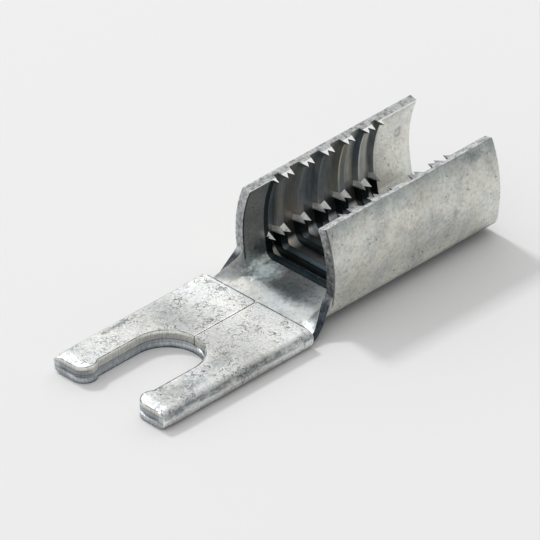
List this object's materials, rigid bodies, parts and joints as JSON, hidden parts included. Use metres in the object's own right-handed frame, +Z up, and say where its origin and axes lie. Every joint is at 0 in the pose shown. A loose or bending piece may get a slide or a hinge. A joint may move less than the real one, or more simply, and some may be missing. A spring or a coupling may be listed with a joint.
{
  "type": "fork terminal",
  "caption": "Crimp terminal folded from one tinned sheet: a double-thickness fork tongue for a stud and an open channel barrel, serrated inside, for a stranded wire.",
  "frame": {"origin": "on the stud's axis, at the round end of the fork's slot, in the plane of the tongue's underside", "axes": "+X from the tines towards the wire barrel, +Y across the tongue, +Z up out of the barrel's open mouth"},
  "size_m": [0.0395, 0.013, 0.0091],
  "materials": {
    "tinned_sheet": "dull tin plating, lightly pitted"
  },
  "bodies": {
    "root": {"fork_terminal": "tinned_sheet"}
  },
  "joints": []
}
